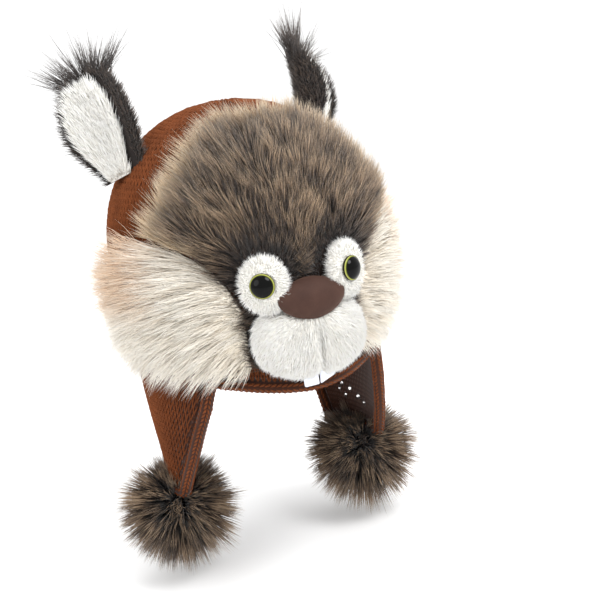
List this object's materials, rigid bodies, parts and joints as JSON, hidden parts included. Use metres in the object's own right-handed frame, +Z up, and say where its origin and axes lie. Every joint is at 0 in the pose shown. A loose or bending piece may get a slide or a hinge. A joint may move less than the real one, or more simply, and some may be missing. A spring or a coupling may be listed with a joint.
{
  "type": "animal hat",
  "caption": "Knitted winter hat as a furry animal's head, with fur mask, stuffed muzzle, nose and teeth, tufted ears, and earflaps ending in fur pompoms.",
  "frame": {"origin": "inside of the crown's top, where the hat sits on a head", "axes": "+Z up through the crown, the mask faces -Y, the wearer's left is +X"},
  "size_m": [0.2343, 0.2328, 0.3829],
  "materials": {
    "knit": "rust-brown knitted yarn",
    "edging": "rust-brown crocheted yarn",
    "fur": "dark brown faux fur with tan tips",
    "white_fur": "cream long-haired faux fur",
    "plush": "white short-pile plush",
    "dark_fur": "dark brown short-pile faux fur",
    "velour": "brown velour",
    "eye": "glossy, with a yellow-green iris",
    "felt": "white felt"
  },
  "bodies": {
    "root": {"knit_crown": "knit", "edging": "edging", "forehead_fur": "fur", "cheek_fur_right": "white_fur", "cheek_fur_left": "white_fur", "eye_patch_right": "plush", "eye_patch_left": "plush", "eye_right": "eye", "eye_left": "eye", "nose": "velour", "muzzle": "plush", "tooth_right": "felt", "tooth_left": "felt", "ear_back_right": "dark_fur", "ear_back_left": "dark_fur", "ear_lining_right": "plush", "ear_lining_left": "plush", "ear_tuft_right": "dark_fur", "ear_tuft_left": "dark_fur", "pompom_right": "fur", "pompom_left": "fur"}
  },
  "joints": []
}
